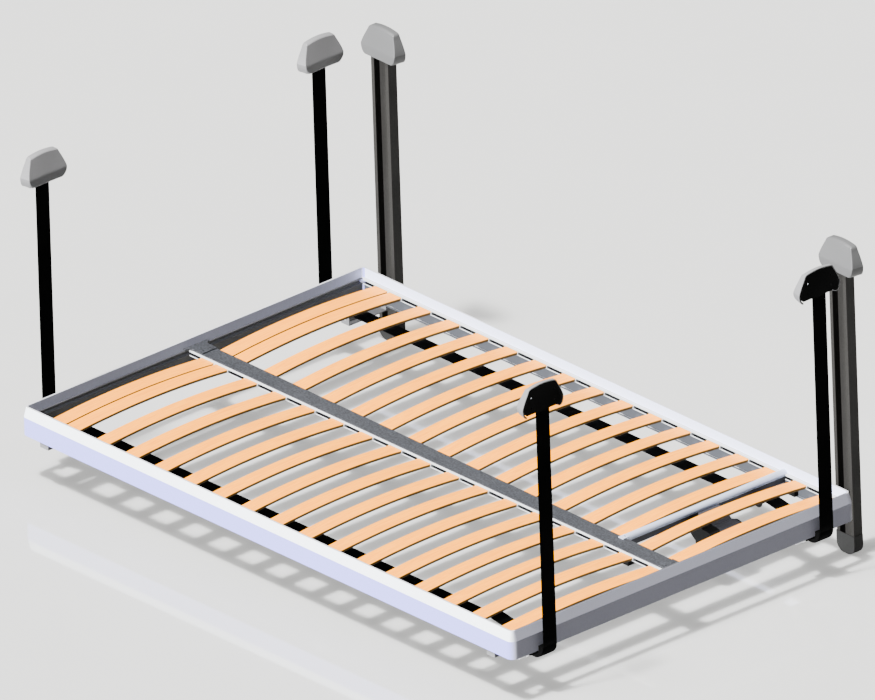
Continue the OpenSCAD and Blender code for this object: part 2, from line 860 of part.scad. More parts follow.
// Guide channels with a foot below and a cap above.
module guide_section() {
    translate([guide_inset, wall_y - guide_d]) difference() {
        square([guide_w, guide_d]);
        translate([guide_t, guide_t]) square([guide_w - 2 * guide_t, guide_d - 2 * guide_t]);
        translate([guide_lip, -past]) square([guide_w - 2 * guide_lip, guide_d / 2]);
    }
}
module guide_rail() {
    difference() {
        translate([0, 0, guide_z0]) linear_extrude(guide_z1 - guide_z0) guide_section();
        for (s = [-1, 1], k = [0, 1])
            rod_y(guide_mid + s * guide_hole_half, guide_hole_z0 + k * guide_hole_step,
                guide_hole_r, wall_y - 2 * guide_t, wall_y + past);
    }
}
module guide_rails() {
    color(dark_c) placed() {
        guide_rail();
        flip_x() guide_rail();
    }
}
module guide_foot() {
    x0 = guide_inset - foot_t;
    w = guide_w + 2 * foot_t;
    difference() {
        translate([0, wall_y - guide_d - foot_t, 0]) along_y(guide_d + foot_t) {
            translate([x0, foot_z0 + foot_r]) square([w, foot_z1 - foot_z0 - foot_r]);
            translate([x0 + foot_r, foot_z0]) square([w - 2 * foot_r, foot_r + past]);
            translate([x0 + foot_r, foot_z0 + foot_r]) circle(foot_r);
            translate([x0 + w - foot_r, foot_z0 + foot_r]) circle(foot_r);
        }
        translate([guide_inset, wall_y - guide_d, guide_z0])
            cube([guide_w, guide_d + past, foot_z1 - guide_z0 + past]);
    }
}
module guide_feet() {
    color(dark_c) placed() {
        guide_foot();
        flip_x() guide_foot();
    }
}

// Covers. The outline is drawn around x = 0 in true height; the depth starts at the wall.
module cover_outline(inset, open) {
    hb = cover_half - inset;
    ht = cover_top_half - inset;
    rr = cover_round - inset;
    ar = (cover_top_half * cover_top_half + cover_arch * cover_arch) / (2 * cover_arch);
    zc = cover_lo + cover_round;
    mid = cover_half - cover_round;
    translate([-mid, cover_lo + (open ? -past : 0)])
        square([2 * mid, cover_round + (open ? past : 0)]);
    for (s = [-1, 1])
        translate([s * mid, zc]) circle(rr);
    intersection() {
        polygon([[-hb, zc], [hb, zc], [ht, cover_top_z],
            [ht, cover_top_z + 2 * cover_arch], [-ht, cover_top_z + 2 * cover_arch],
            [-ht, cover_top_z]]);
        translate([0, cover_top_z + cover_arch - ar]) circle(ar - inset);
    }
}
module cover_depth(d, inset, open) {
    polygon([[open ? -past : 0, cover_lo - (open ? past : 0)],
        [d - inset, cover_lo - (open ? past : 0)], [d - inset, cover_lean_z],
        [d - cover_edge_back - inset, cover_edge_z - inset],
        [d / 3 - inset / 2, cover_top_z + cover_arch - inset],
        [d / 3 - inset / 2, cover_top_z + 2 * cover_arch],
        [open ? -past : 0, cover_top_z + 2 * cover_arch]]);
}
// A cover with its back at y = 0, its front towards -Y and its middle at x = 0.
module cover_block(d, inset, open) {
    intersection() {
        translate([0, -d - past, 0]) along_y(d + 2 * past) cover_outline(inset, open);
        translate([-cover_w, 0, 0]) rotate([90, 0, 90]) linear_extrude(2 * cover_w)
            mirror([1, 0]) cover_depth(d, inset, open);
    }
}
module cover_shell(d) {
    difference() {
        cover_block(d, 0, false);
        cover_block(d, cover_t, true);
    }
}
module cover_plate() {
    translate([0, -back_t, 0]) along_y(back_t) intersection() {
        cover_outline(cover_t, false);
        translate([-cover_w, cover_lo + 8]) square([2 * cover_w, cover_top_z]);
    }
}
// Turns a part drawn against a wall at y = 0 so that it faces +X at the left bed end.
module at_left_end(y) {
    translate([face_x, y, 0]) rotate([0, 0, 90]) children();
}
module cover_front_left() {
    color(cover_c) placed() at_left_end(strap_inset) cover_shell(cover_d);
}
module cover_rear_left() {
    color(cover_c) placed() at_left_end(strap_inset + far_y) cover_shell(cover_d);
}
module cover_front_right() {
    color(cover_c) placed() flip_x() at_left_end(strap_inset) cover_shell(cover_d);
}
module cover_rear_right() {
    color(cover_c) placed() flip_x() at_left_end(strap_inset + far_y) cover_shell(cover_d);
}
module guide_cap() {
    translate([guide_mid, wall_y, 0]) cover_shell(cap_d);
}
module guide_caps() {
    color(cover_c) placed() {
        guide_cap();
        flip_x() guide_cap();
    }
}
module wall_plate() {
    difference() {
        translate([guide_mid, wall_y, 0]) cover_plate();
        translate([guide_inset, wall_y - guide_d, cover_lo])
            cube([guide_w, guide_d + past, guide_z1 - cover_lo]);
    }
}
module wall_plates() {
    color(dark_c) placed() {
        wall_plate();
        flip_x() wall_plate();
    }
}

// Anchors that hold the top loops of the straps.
module anchor_bracket() {
    difference() {
        union() {
            at_left_end(strap_inset) cover_plate();
            for (s = [-1, 1])
                translate([face_x, strap_inset + s * (ear_gap + ear_t / 2) - ear_t / 2,
                    anchor_z - ear_half])
                    cube([anchor_x + anchor_pin_r + 2 - face_x, ear_t, 2 * ear_half]);
        }
        rod_y(anchor_x, anchor_z, anchor_pin_r, strap_inset - ear_gap - 2 * ear_t,
            strap_inset + ear_gap + 2 * ear_t);
        for (s = [-1, 1], k = [0, 1])
            rod_x(strap_inset + s * anchor_hole_y, anchor_hole_z0 + k * anchor_hole_step,
                anchor_hole_r, face_x - past, face_x + back_t + past);
    }
}
module anchor_brackets() {
    color(black_c) placed() for (y = [0, far_y]) {
        translate([0, y, 0]) anchor_bracket();
        flip_x() translate([0, y, 0]) anchor_bracket();
    }
}
module anchor_pin() {
    rod_y(anchor_x, anchor_z, anchor_pin_r, strap_inset - ear_gap - ear_t - 1,
        strap_inset + ear_gap + ear_t + 1);
}
module anchor_pins() {
    color(steel_c) placed() for (y = [0, far_y]) {
        translate([0, y, 0]) anchor_pin();
        flip_x() translate([0, y, 0]) anchor_pin();
    }
}
module strap_loop() {
    translate([0, strap_y, 0]) along_y(strap_w) {
        translate([anchor_x, anchor_z]) difference() {
            circle(loop_r + strap_t);
            circle(loop_r);
        }
        translate([-strap_gap - strap_t / 2, hang_top]) square([strap_t, anchor_z - hang_top]);
    }
}
module strap_loops() {
    color(black_c) placed() for (y = [0, far_y]) {
        translate([0, y, 0]) strap_loop();
        flip_x() translate([0, y, 0]) strap_loop();
    }
}
module hanging_strap() {
    translate([-strap_gap - strap_t / 2, strap_y, bend_z])
        cube([strap_t, strap_w, hang_top - bend_z]);
}
module hanging_straps() {
    color(black_c) placed() for (y = [0, far_y]) {
        translate([0, y, 0]) hanging_strap();
        flip_x() translate([0, y, 0]) hanging_strap();
    }
}

rail_front();
rail_rear();
rail_left();
rail_right();
corner_castings();
spine();
spine_bracket_left();
spine_bracket_right();
bracket_screws();
slat_strip_front();
slat_strip_spine_front();
slat_strip_spine_rear();
slat_strip_rear();
slats_front();
slats_rear();
slat_end_caps();
cross_tube();
shaft_bearings();
motor_housing();
motor_end_cap();
gearbox();
motor_bracket();
shoe_front_left();
shoe_rear_left();
shoe_front_right();
shoe_rear_right();
shoe_bolts();
run_front_left();
run_rear_left();
run_front_right();
run_rear_right();
roller_brackets();
roller_pins();
carriage_left();
carriage_right();
wheel_axles();
winding_shaft();
strap_drums();
wound_straps();
shaft_gear();
motor_rotor();
motor_gear();
roller_front_left();
roller_rear_left();
roller_front_right();
roller_rear_right();
wheels_left();
wheels_right();
guide_rails();
guide_feet();
guide_caps();
wall_plates();
cover_front_left();
cover_rear_left();
cover_front_right();
cover_rear_right();
anchor_brackets();
anchor_pins();
strap_loops();
hanging_straps();
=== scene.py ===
import bmesh
import bpy
import json
import math
from mathutils import Matrix, Vector


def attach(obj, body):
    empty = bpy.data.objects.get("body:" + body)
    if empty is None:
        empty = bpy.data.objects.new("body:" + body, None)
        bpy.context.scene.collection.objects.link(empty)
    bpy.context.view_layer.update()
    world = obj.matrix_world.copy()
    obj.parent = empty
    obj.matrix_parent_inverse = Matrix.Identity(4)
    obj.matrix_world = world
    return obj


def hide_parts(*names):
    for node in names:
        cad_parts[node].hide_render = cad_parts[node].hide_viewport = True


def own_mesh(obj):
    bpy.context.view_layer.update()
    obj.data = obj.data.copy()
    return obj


# Sizes in millimetres from the bed's front left corner, as in the CAD source.
BED_L = 1950.0
BED_W = 1210.0
WALL_Y = 1262.0
FOOT_DROP = 128.0
SLAT_W = 50.0
THIRD_SLAT = 242.0
LAST_SLAT_GAP = 52.0
EVEN_GAPS = 14
PITCH = (BED_L - LAST_SLAT_GAP - SLAT_W - THIRD_SLAT) / EVEN_GAPS


def at(x, y, z):
    """A point of the bed's own axes, in metres in the shared frame."""
    return Vector(((x - BED_L / 2) / 1000, (y - WALL_Y / 2) / 1000, (z + FOOT_DROP) / 1000))


def slat_start(k):
    """Left side of an evenly spaced slat; the third slat is number 0."""
    return THIRD_SLAT + k * PITCH


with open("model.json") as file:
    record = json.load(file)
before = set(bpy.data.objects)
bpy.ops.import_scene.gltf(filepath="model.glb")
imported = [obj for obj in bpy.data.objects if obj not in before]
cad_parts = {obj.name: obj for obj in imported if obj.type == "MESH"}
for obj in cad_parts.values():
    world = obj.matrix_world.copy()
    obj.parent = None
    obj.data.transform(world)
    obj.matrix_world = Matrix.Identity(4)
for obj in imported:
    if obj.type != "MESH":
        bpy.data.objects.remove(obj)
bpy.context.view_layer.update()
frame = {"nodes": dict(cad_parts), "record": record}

# What all surfaces share. A noise node's values lie mostly between the first two.
NOISE_LOW, NOISE_HIGH = 0.3, 0.7
BROAD_SCALE, BROAD_DETAIL = 5.0, 3.0
LEAST_ROUGH = 0.03
COAT_ROUGH = 0.25
RELIEF_DEPTH = 0.0006
EDGE_SAMPLES = 4


# Shader helpers.
def add(tree, kind, **sockets):
    """A new node; each keyword sets the input of that name, with _ in place of a space."""
    node = tree.nodes.new(kind)
    for socket, value in sockets.items():
        node.inputs[socket.replace("_", " ")].default_value = value
    return node


def material(name, colour, rough=0.5, metal=0.0, bump=0.0, scale=200.0, vary=0.06,
             rough_vary=0.1, edge=0.0007, stretch=(1, 1, 1), coat=0.0, detail=6.0, gloss=0.5):
    """A surface whose colour, roughness and relief all carry procedural noise."""
    m = bpy.data.materials.new(name)
    m.use_nodes = True
    t = m.node_tree
    link = t.links.new
    bsdf = t.nodes["Principled BSDF"]
    coord = add(t, "ShaderNodeTexCoord")
    mapping = add(t, "ShaderNodeMapping", Scale=stretch)
    link(coord.outputs["Object"], mapping.inputs["Vector"])
    noise = add(t, "ShaderNodeTexNoise", Scale=scale, Detail=detail)
    link(mapping.outputs["Vector"], noise.inputs["Vector"])
    broad = add(t, "ShaderNodeTexNoise", Scale=BROAD_SCALE, Detail=BROAD_DETAIL)
    link(coord.outputs["Object"], broad.inputs["Vector"])
    shift = add(t, "ShaderNodeMapRange", From_Min=NOISE_LOW, From_Max=NOISE_HIGH,
                To_Min=1 - vary, To_Max=1 + vary)
    link(noise.outputs["Fac"], shift.inputs["Value"])
    tint = add(t, "ShaderNodeMixRGB", Fac=1.0, Color1=(*colour, 1))
    tint.name = "tint"
    tint.blend_type = "MULTIPLY"
    link(shift.outputs["Result"], tint.inputs["Color2"])
    link(tint.outputs["Color"], bsdf.inputs["Base Color"])
    wear = add(t, "ShaderNodeMapRange", From_Min=NOISE_LOW, From_Max=NOISE_HIGH,
               To_Min=max(LEAST_ROUGH, rough - rough_vary), To_Max=min(1.0, rough + rough_vary))
    link(broad.outputs["Fac"], wear.inputs["Value"])
    link(wear.outputs["Result"], bsdf.inputs["Roughness"])
    bsdf.inputs["Metallic"].default_value = metal
    bsdf.inputs["Coat Weight"].default_value = coat
    bsdf.inputs["Coat Roughness"].default_value = COAT_ROUGH
    bsdf.inputs["Specular IOR Level"].default_value = gloss
    relief = add(t, "ShaderNodeBump", Strength=bump, Distance=RELIEF_DEPTH)
    link(noise.outputs["Fac"], relief.inputs["Height"])
    if edge > 0:
        soft = add(t, "ShaderNodeBevel", Radius=edge)
        soft.samples = EDGE_SAMPLES
        link(soft.outputs["Normal"], relief.inputs["Normal"])
    link(relief.outputs["Normal"], bsdf.inputs["Normal"])
    return m


GRAIN_STRETCH = (14, 0.8, 14)
GRAIN_DARK, GRAIN_LIGHT = 0.34, 0.62
SLAT_SIDE = 0.6


def wood(name, light, dark, side):
    """Wooden slat: long grain on the broad faces, a plain dark tone on the long edges."""
    m = material(name, light, bump=0.12, scale=60, vary=0.0, stretch=(9, 1, 9), coat=0.02,
                 gloss=0.12)
    t = m.node_tree
    link = t.links.new
    mapping = add(t, "ShaderNodeMapping", Scale=GRAIN_STRETCH)
    link(t.nodes["Texture Coordinate"].outputs["Object"], mapping.inputs["Vector"])
    grain = add(t, "ShaderNodeTexNoise", Scale=14, Detail=8, Distortion=0.6)
    link(mapping.outputs["Vector"], grain.inputs["Vector"])
    tone = add(t, "ShaderNodeValToRGB")
    for stop, place, colour in zip(tone.color_ramp.elements, (GRAIN_DARK, GRAIN_LIGHT),
                                   (dark, light)):
        stop.position = place
        stop.color = (*colour, 1)
    link(grain.outputs["Fac"], tone.inputs["Fac"])
    geometry = add(t, "ShaderNodeNewGeometry")
    split = add(t, "ShaderNodeSeparateXYZ")
    link(geometry.outputs["True Normal"], split.inputs["Vector"])
    size = add(t, "ShaderNodeMath")
    size.operation = "ABSOLUTE"
    link(split.outputs["X"], size.inputs[0])
    gate = add(t, "ShaderNodeMath")
    gate.operation = "GREATER_THAN"
    gate.inputs[1].default_value = SLAT_SIDE
    link(size.outputs[0], gate.inputs[0])
    both = add(t, "ShaderNodeMixRGB", Color2=(*side, 1))
    link(gate.outputs[0], both.inputs["Fac"])
    link(tone.outputs["Color"], both.inputs["Color1"])
    link(both.outputs["Color"], t.nodes["Principled BSDF"].inputs["Base Color"])
    return m


# Parts of the surface normal between which one colour of the painted light and shade turns
# into the next.
LEANS, LIES_LEVEL = (0.08, 0.2), (0.6, 0.95)
TURNS_AWAY = (-0.9, -0.3)


def paint_with_painted_light_and_shade(name, upright, leaning, side, side_leaning, level):
    """The frame's painted surface with painted light and shade by facing: lighter where it leans
    back than where it stands, as painted light, grey on the sides that face away from the front
    light, as painted shade, and with a colour of its own where it lies level, as painted shade."""
    m = material(name, upright, rough=0.45, bump=0.04, scale=300, vary=0.04, coat=0.02,
                 edge=0.0009, gloss=0.12)
    t = m.node_tree
    link = t.links.new
    geometry = add(t, "ShaderNodeNewGeometry")
    split = add(t, "ShaderNodeSeparateXYZ")
    link(geometry.outputs["Normal"], split.inputs["Vector"])

    def share(axis, low, high):
        """Goes from 0 to 1 while the normal's part along the axis goes from low to high."""
        node = add(t, "ShaderNodeMapRange", From_Min=low, From_Max=high)
        link(split.outputs[axis], node.inputs["Value"])
        return node.outputs["Result"]

    def mix(factor, first, second):
        """Blends two colours, each given as a tuple or as a socket."""
        node = add(t, "ShaderNodeMixRGB")
        link(factor, node.inputs["Fac"])
        for socket, value in (("Color1", first), ("Color2", second)):
            if isinstance(value, tuple):
                node.inputs[socket].default_value = (*value, 1)
            else:
                link(value, node.inputs[socket])
        return node.outputs["Color"]

    lean = share("Z", *LEANS)
    front = mix(lean, upright, leaning)
    away = mix(lean, side, side_leaning)
    turned = mix(share("Y", *TURNS_AWAY), front, away)
    link(mix(share("Z", *LIES_LEVEL), turned, level), t.nodes["tint"].inputs["Color1"])
    return m


def webbing(name, colour):
    """Woven strap: fine twill relief, dull."""
    m = material(name, colour, rough=0.9, bump=0.35, scale=900, vary=0.25, edge=0.0, gloss=0.02)
    t = m.node_tree
    wave = add(t, "ShaderNodeTexWave", Scale=180, Distortion=0.4)
    wave.bands_direction = "DIAGONAL"
    t.links.new(t.nodes["Texture Coordinate"].outputs["Object"], wave.inputs["Vector"])
    t.links.new(wave.outputs["Fac"], t.nodes["Bump"].inputs["Height"])
    return m


# Surfaces. Those in BY_SLOT serve a whole slot, the others single nodes or faces.
# The frame's colours by facing are painted light and shade: LAVENDER on upright faces and the
# lighter PALE on leaning faces are painted light from the front, SIDES is painted shade on the
# faces turned away from it, and LEVEL is painted shade on level faces. DIM, DARK and LOW are
# painted shade for the insides of the left and rear rails.
LAVENDER, PALE, LEVEL = (0.35, 0.358, 0.93), (0.90, 0.96, 1.0), (0.45, 0.45, 0.47)
SIDES = ((0.61, 0.61, 0.73), (0.40, 0.405, 0.475))
DIM, DARK, LOW = (0.155, 0.15, 0.142), (0.045, 0.046, 0.052), (0.066, 0.070, 0.080)
PAINT = paint_with_painted_light_and_shade("frame_paint", LAVENDER, PALE, *SIDES, LEVEL)
BEAM = material("beam_grey", (0.0198, 0.0212, 0.0255), rough=0.6, bump=0.12, scale=190,
                vary=0.75, edge=0.0006, detail=1.0)
STRIP = material("strip_plastic", (0.60, 0.605, 0.61), bump=0.03, scale=300, vary=0.02)
SLAT = wood("slat_wood", (0.98, 0.325, 0.0), (0.86, 0.255, 0.0), (0.17, 0.10, 0.03))
TUBE = material("tube_metal", (0.48, 0.52, 0.64), rough=0.35, metal=0.2, bump=0.03, vary=0.04,
                stretch=(1, 0.05, 1))
STEEL = material("plain_steel", (0.60, 0.61, 0.63), rough=0.35, metal=0.9, bump=0.05, scale=240)
BAR = material("bar_paint", (0.017, 0.017, 0.023), rough=0.6, bump=0.08, scale=420, vary=0.2)
CAST = material("dark_cast", (0.002, 0.002, 0.0018), rough=0.7, bump=0.15, scale=500, vary=0.3,
                gloss=0.08)
BLACK = material("black_plastic", (0.0005, 0.0005, 0.0005), rough=0.7, bump=0.08, scale=600,
                 vary=0.3, gloss=0.03)
STRAP = webbing("strap_web", (0.0004, 0.0004, 0.0004))
ROLLER = material("roller_plastic", (0.02, 0.02, 0.022), rough=0.35, bump=0.03, scale=300,
                  vary=0.08)
GUIDE = material("guide_paint", (0.0205, 0.0195, 0.0178), bump=0.06, scale=300, vary=0.2,
                 edge=0.0006, gloss=0.12)
COVER_LOOK = dict(rough=0.45, bump=0.08, scale=650, vary=0.05, edge=0.0012, gloss=0.35)
COVER = material("cover_plastic", (0.172, 0.170, 0.172), **COVER_LOOK)
# The guide caps are of the covers' plastic; facing the front lamp, they take a darker copy of
# it, painted shade.
CAP = material("cap_plastic_shaded", (0.088, 0.088, 0.088), **COVER_LOOK)
# PAINT_LIT is a lighter copy of the frame colour, painted light on the rear rail; PAINT_RIGHT
# gives the right rail's level top a dark colour, painted shade.
PAINT_LIT = paint_with_painted_light_and_shade("frame_paint_lit", (0.74, 0.77, 0.98), PALE, *SIDES, LEVEL)
PAINT_RIGHT = paint_with_painted_light_and_shade("frame_paint_right_shaded_top", LAVENDER, PALE, *SIDES, (0.09, 0.09, 0.10))
# PAINT_SHADE, PAINT_LOW and SHADE are darker copies, painted shade on the inside of the left
# rail, the lower inside of the rear rail and the walls of the strips' slots.
PAINT_SHADE = paint_with_painted_light_and_shade("frame_paint_shade", DIM, DARK, DIM, DARK, DARK)
PAINT_LOW = paint_with_painted_light_and_shade("frame_paint_low_shaded", LOW, LOW, LOW, LOW, LOW)
SHADE = material("slot_shade", (0.02, 0.02, 0.022), rough=0.8, bump=0.03, scale=300, vary=0.1,
                 gloss=0.1)
FOOT = material("foot_cast", (0.013, 0.013, 0.0125), rough=0.6, bump=0.15, scale=400, vary=0.25,
                gloss=0.15)
# The roller brackets' zinc grey is kept dark so that they read as lying in the shade under the
# front rail: painted shade.
ZINC_SHADED = material("bracket_zinc_shaded", (0.18, 0.18, 0.185), bump=0.08, scale=240, vary=0.1, gloss=0.2)

# CAD nodes keep their shape and take the surface of their slot.
BY_SLOT = {"frame_paint": PAINT, "beam_grey": BEAM, "strip_plastic": STRIP, "slat_wood": SLAT,
           "tube_metal": TUBE, "plain_steel": STEEL, "bar_paint": BAR, "dark_cast": CAST,
           "black_plastic": BLACK, "strap_web": STRAP, "roller_plastic": ROLLER,
           "guide_paint": GUIDE, "cover_plastic": COVER}
slots = {s["node"]: s["material_slot"] for s in frame["record"]["subparts"]}
for name, obj in frame["nodes"].items():
    obj.data.materials.clear()
    obj.data.materials.append(BY_SLOT[slots[name]])

# Some nodes look unlike the rest of their slot.
# The rear rail's lighter copy is painted light and the right rail's dark level top painted
# shade.
for name, skin in (("rail_right", PAINT_RIGHT), ("rail_rear", PAINT_LIT), ("guide_feet", FOOT),
                   ("roller_brackets", ZINC_SHADED), ("bracket_screws", BEAM)):
    frame["nodes"][name].data.materials[0] = skin

# Faces of some nodes lie in deep shade in the photograph and take a darker surface.
SLOT_LO, SLOT_HI, SLOT_MARGIN = 40.0, 48.4, 0.2
OUTER_WALL, RAIL_TOP, REAR_WALL = 5.5, 80.9, BED_W - 5
FACING = 0.5


def repaint(name, skin, chosen):
    """Gives a second surface to those faces of a CAD node that chosen(corners, normal) picks."""
    mesh = frame["nodes"][name].data
    mesh.materials.append(skin)
    for p in mesh.polygons:
        if chosen([mesh.vertices[i].co for i in p.vertices], p.normal):
            p.material_index = 1


def slot_wall(corners, normal):
    """Walls of the slots in a slat strip."""
    heights = [c.z for c in corners]
    return (at(0, 0, SLOT_LO - SLOT_MARGIN).z <= min(heights)
            and max(heights) <= at(0, 0, SLOT_HI + SLOT_MARGIN).z and abs(normal.x) < FACING)


def below_groove(corners, normal):
    """Inner side of the rear rail, below its groove."""
    return (normal.y < -FACING and max(c.z for c in corners) < at(0, 0, SLOT_LO).z
            and max(c.y for c in corners) < at(0, REAR_WALL, 0).y)


def inside_left(corners, normal):
    """Inner side and ledge of the left rail."""
    return ((normal.x > FACING or normal.z > FACING)
            and max(c.x for c in corners) > at(OUTER_WALL, 0, 0).x
            and max(c.z for c in corners) < at(0, 0, RAIL_TOP).z)


for name in frame["nodes"]:
    if name.startswith("slat_strip"):
        repaint(name, SHADE, slot_wall)
repaint("rail_rear", PAINT_LOW, below_groove)
repaint("rail_left", PAINT_SHADE, inside_left)


# Object and mesh helpers.
def into_scene(name, data):
    """A new object in the scene."""
    obj = bpy.data.objects.new(name, data)
    bpy.context.scene.collection.objects.link(obj)
    return obj


def mesh_object(name, me, body):
    """Puts a mesh into the scene as a piece that rides on a body."""
    obj = into_scene(name, me)
    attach(obj, body)
    return obj


def tube_piece(name, tubes, mat, body, smooth=True):
    """A piece of closed tubes; each tube is a list of rings of points."""
    verts, faces = [], []
    for rings in tubes:
        ids = []
        for ring in rings:
            ids.append(tuple(range(len(verts), len(verts) + len(ring))))
            verts += [tuple(point) for point in ring]
        for a, b in zip(ids, ids[1:]):
            for i in range(len(a)):
                j = (i + 1) % len(a)
                faces.append((a[i], a[j], b[j], b[i]))
        faces += [ids[0][::-1], ids[-1]]
    me = bpy.data.meshes.new(name)
    me.from_pydata(verts, [], faces)
    me.materials.append(mat)
    me.update()
    for p in me.polygons:
        p.use_smooth = smooth
    return mesh_object(name, me, body)


# Straps: a thin band with rounded selvedges, swept along each path.
STRAP_W = 48.0
STRAP_T = 2.0
SELVEDGE, SELVEDGE_T = 1.6, 0.75
STRAP_GAP = 19.0
INSET = 117.0
WRAP_R = 38.0
ROLLER_R = 12.0
WIND_R = 11.0
LOOP_R = 5.3
RUN_Z = 14.0
LOOP_Z = 742.0
HANG_TOP = 700.0
OVER_R = ROLLER_R + STRAP_T / 2
SHAFT_SLAT, SHAFT_FROM_SLAT = 12, 57.0
# Middles of the turn under the end rail, of the roller and of the winding shaft, as (x, z).
BEND = (WRAP_R - STRAP_GAP, 14.0)
ROLLER_AT = (88.0, RUN_Z - STRAP_T / 2 - ROLLER_R)
SHAFT = (slat_start(SHAFT_SLAT) + SLAT_W + SHAFT_FROM_SLAT, RUN_Z + WIND_R)
ACROSS_STEPS, WRAP_STEPS, OVER_STEPS, RUN_STEPS = 8, 30, 8, 60
HANG_STEPS, RISE_STEPS, LOOP_STEPS, LOOP_END = 40, 4, 26, -150
CORE_R, COIL_GROWTH, COIL_TURNS, COIL_STEPS, COIL_HALF_T = 8.3, 0.7, 2.0, 120, 0.3
BED_ROWS = (("front", INSET), ("rear", BED_W - INSET))
BED_ENDS = (("left", False), ("right", True))


def band_section():
    """Points (across, depth) round the section of the band."""
    h, w, e, n = STRAP_T / 2, STRAP_W / 2, SELVEDGE, ACROSS_STEPS
    half = [(-w + e + k * 2 * (w - e) / n, h) for k in range(n + 1)]
    half += [(w - e / 3, h * SELVEDGE_T), (w, 0), (w - e / 3, -h * SELVEDGE_T)]
    return half + [(-across, -depth) for across, depth in half]


def band(path, y, flip):
    """Rings of a band at y; path holds (x, z, nx, nz) of its middle line with the normal."""
    rings = []
    for x, z, nx, nz in path:
        ring = []
        for across, depth in band_section():
            px, pz = x + nx * depth, z + nz * depth
            ring.append(at(BED_L - px if flip else px, y + across, pz))
        rings.append(ring)
    return rings


def arc(c, r, a0, a1, n, inward):
    """Path round c from angle a0 to a1; its normal points to c or away from it."""
    out = []
    for k in range(n + 1):
        a = math.radians(a0 + (a1 - a0) * k / n)
        s = -1 if inward else 1
        out.append((c[0] + r * math.cos(a), c[1] + r * math.sin(a),
                    s * math.cos(a), s * math.sin(a)))
    return out


def run_path(right):
    """Path from the hanging strap round the shoe and over the roller to the winding shaft."""
    dist = math.hypot(ROLLER_AT[0] - BEND[0], BEND[1] - ROLLER_AT[1])
    more = math.degrees(math.asin((WRAP_R + OVER_R) / dist)
                        - math.atan2(BEND[1] - ROLLER_AT[1], ROLLER_AT[0] - BEND[0]))
    path = arc(BEND, WRAP_R, 180, 270 + more, WRAP_STEPS, True)
    if not right:
        path += arc(ROLLER_AT, OVER_R, 90 + more, 90, OVER_STEPS, False)
        x0 = ROLLER_AT[0]
        return path + [(x0 + (SHAFT[0] - x0) * k / RUN_STEPS, RUN_Z, 0, 1)
                       for k in range(1, RUN_STEPS + 1)]
    c = (BED_L - SHAFT[0], SHAFT[1])
    d = math.hypot(c[0] - ROLLER_AT[0], c[1] - ROLLER_AT[1])
    rise = (math.atan2(c[1] - ROLLER_AT[1], c[0] - ROLLER_AT[0])
            - math.asin((OVER_R - WIND_R) / d))
    path += arc(ROLLER_AT, OVER_R, 90 + more, 90 + math.degrees(rise), OVER_STEPS, False)
    nx, nz = -math.sin(rise), math.cos(rise)
    return path + [(c[0] + WIND_R * nx, c[1] + WIND_R * nz, nx, nz)]


def loop_path():
    """Path from the hanging strap up and round the anchor pin."""
    r = LOOP_R + STRAP_T / 2
    c = (-STRAP_GAP + r, LOOP_Z)
    path = [(-STRAP_GAP, HANG_TOP + k * (c[1] - HANG_TOP) / RISE_STEPS, 1, 0)
            for k in range(RISE_STEPS)]
    return path + arc(c, r, 180, LOOP_END, LOOP_STEPS, True)


def coil(y):
    """Rings of the turns on the winding shaft, which lie ever further out."""
    w, h = STRAP_W / 2, COIL_HALF_T
    rings = []
    for k in range(COIL_STEPS + 1):
        a = 2 * math.pi * COIL_TURNS * k / COIL_STEPS
        r = CORE_R + COIL_GROWTH * k / COIL_STEPS
        rings.append([at(SHAFT[0] + (r + dr) * math.cos(a), y + dy,
                         SHAFT[1] + (r + dr) * math.sin(a))
                      for dy, dr in ((-w, -h), (w, -h), (w, h), (-w, h))])
    return rings


hang_path = [(-STRAP_GAP, BEND[1] + (HANG_TOP - BEND[1]) * k / HANG_STEPS, 1, 0)
             for k in range(HANG_STEPS + 1)]
for row, y in BED_ROWS:
    for end, flip in BED_ENDS:
        run = tube_piece("webbing_run_%s_%s" % (row, end), [band(run_path(flip), y, flip)],
                         STRAP, "bed")
        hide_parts("run_%s_%s" % (row, end))
        hang = tube_piece("webbing_hanging_%s_%s" % (row, end), [band(hang_path, y, flip)],
                          STRAP, "wall_set")
        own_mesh(hang)
        loop = tube_piece("webbing_loop_%s_%s" % (row, end), [band(loop_path(), y, flip)],
                          STRAP, "wall_set")
        if (row, end) == ("front", "left"):
            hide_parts("strap_loops")
            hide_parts("hanging_straps")
    wound = tube_piece("webbing_wound_%s" % row, [coil(y)], STRAP, "drive_shaft")
    if row == "front":
        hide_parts("wound_straps")

# Slats: crowned boards with softened edges.
SLAT_T, CROWN = 8.0, 14.0
SLAT_EDGE, EDGE_CUT = 1.6, 0.3
ARC_Y0, ARC_Y1 = 20.0, 577.0
ARC_EASE, ARC_STEPS = 0.5, 36
SLAT_Y0, SLAT_Y1 = 11.0, 586.0
REAR_SHIFT = 613.0
FIRST_SLATS = [69.0, 124.0]
SLAT_STARTS = FIRST_SLATS + [slat_start(k) for k in range(EVEN_GAPS + 1)]
SLAT_YS = ([SLAT_Y0, ARC_Y0 - ARC_EASE]
           + [ARC_Y0 + (ARC_Y1 - ARC_Y0) * k / ARC_STEPS for k in range(ARC_STEPS + 1)]
           + [ARC_Y1 + ARC_EASE, SLAT_Y1])


def slat_rise(y):
    """Height of the crown over the flat ends of a slat."""
    if y <= ARC_Y0 or y >= ARC_Y1:
        return 0.0
    half, mid = (ARC_Y1 - ARC_Y0) / 2, (ARC_Y0 + ARC_Y1) / 2
    r = (half * half + CROWN * CROWN) / (2 * CROWN)
    return math.sqrt(r * r - (y - mid) ** 2) - (r - CROWN)


